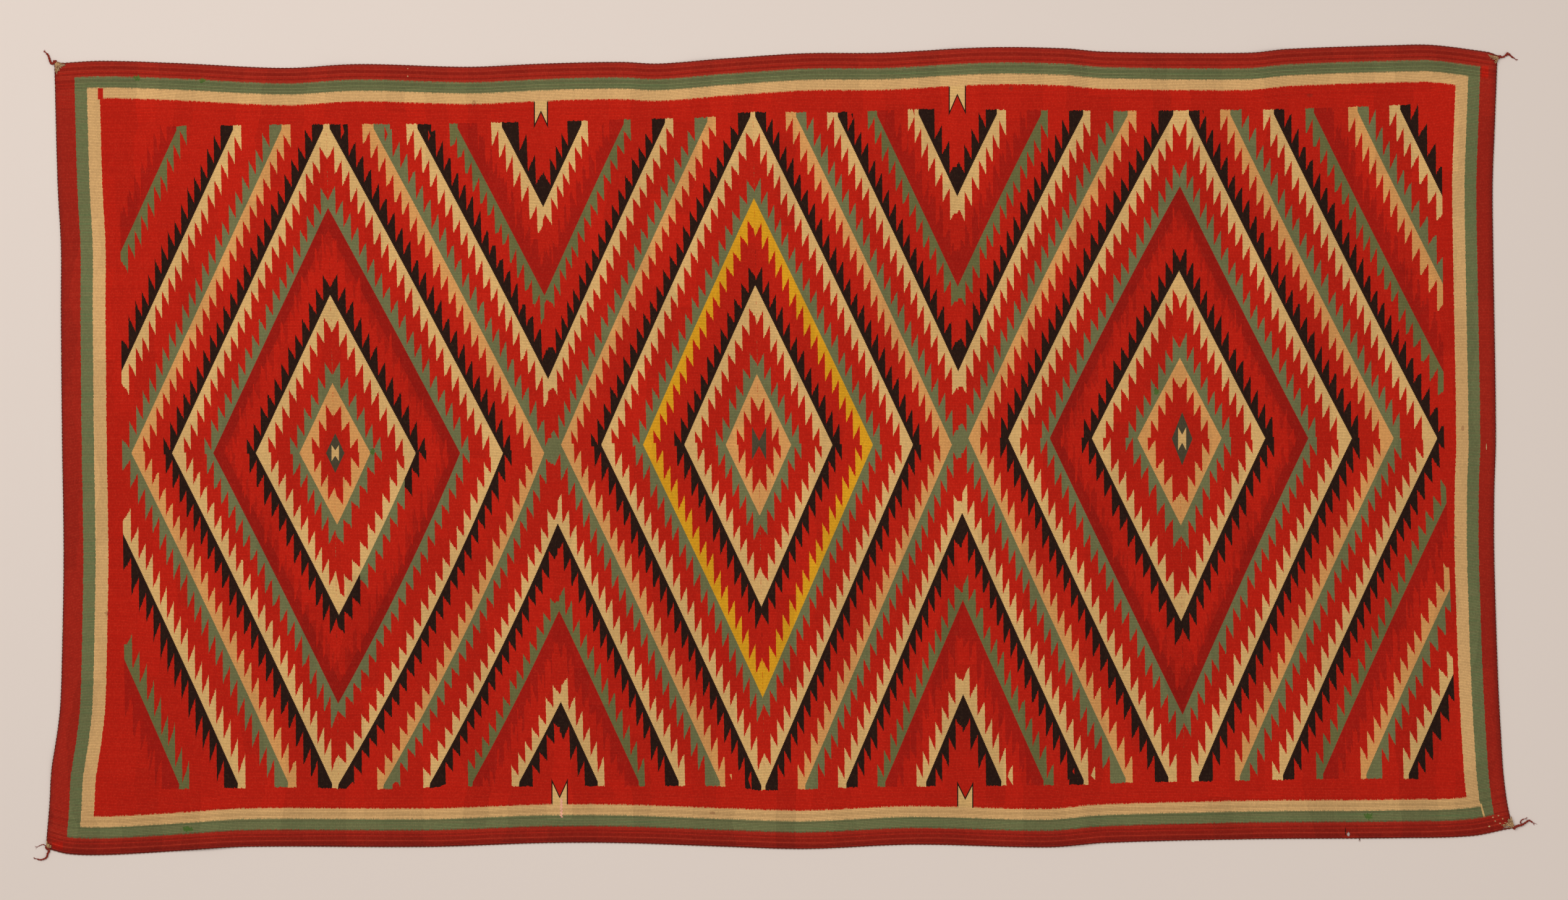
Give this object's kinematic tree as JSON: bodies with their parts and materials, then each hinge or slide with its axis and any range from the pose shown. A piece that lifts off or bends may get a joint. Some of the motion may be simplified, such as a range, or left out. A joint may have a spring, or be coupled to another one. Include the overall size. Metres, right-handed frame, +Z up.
{
  "type": "eye dazzler rug",
  "caption": "Flat tapestry-woven wool rug with stepped, serrated concentric diamonds inside a striped border, twined edge cords and loose corner ties.",
  "frame": {"origin": "on the floor under the middle of the cloth", "axes": "+X along the warps, the rug's length; +Y across them, the rug's width; +Z up from the floor through the rug's face"},
  "size_m": [2.7588, 1.5106, 0.0064],
  "materials": {
    "tapestry_wool": "matt weft-faced wool weave with fine ribs along the length",
    "end_cord_wool": "matt two-ply twined wool, dark maroon",
    "side_cord_wool": "matt two-ply twined wool, dark olive brown",
    "corner_tie_wool": "matt knotted wool ends with bare tan warps"
  },
  "bodies": {
    "root": {"woven_cloth": "tapestry_wool", "edge_cord_left": "end_cord_wool", "edge_cord_right": "end_cord_wool", "edge_cord_top": "side_cord_wool", "edge_cord_bottom": "side_cord_wool", "corner_tie_top_left": "corner_tie_wool", "corner_tie_top_right": "corner_tie_wool", "corner_tie_bottom_left": "corner_tie_wool", "corner_tie_bottom_right": "corner_tie_wool"}
  },
  "joints": []
}
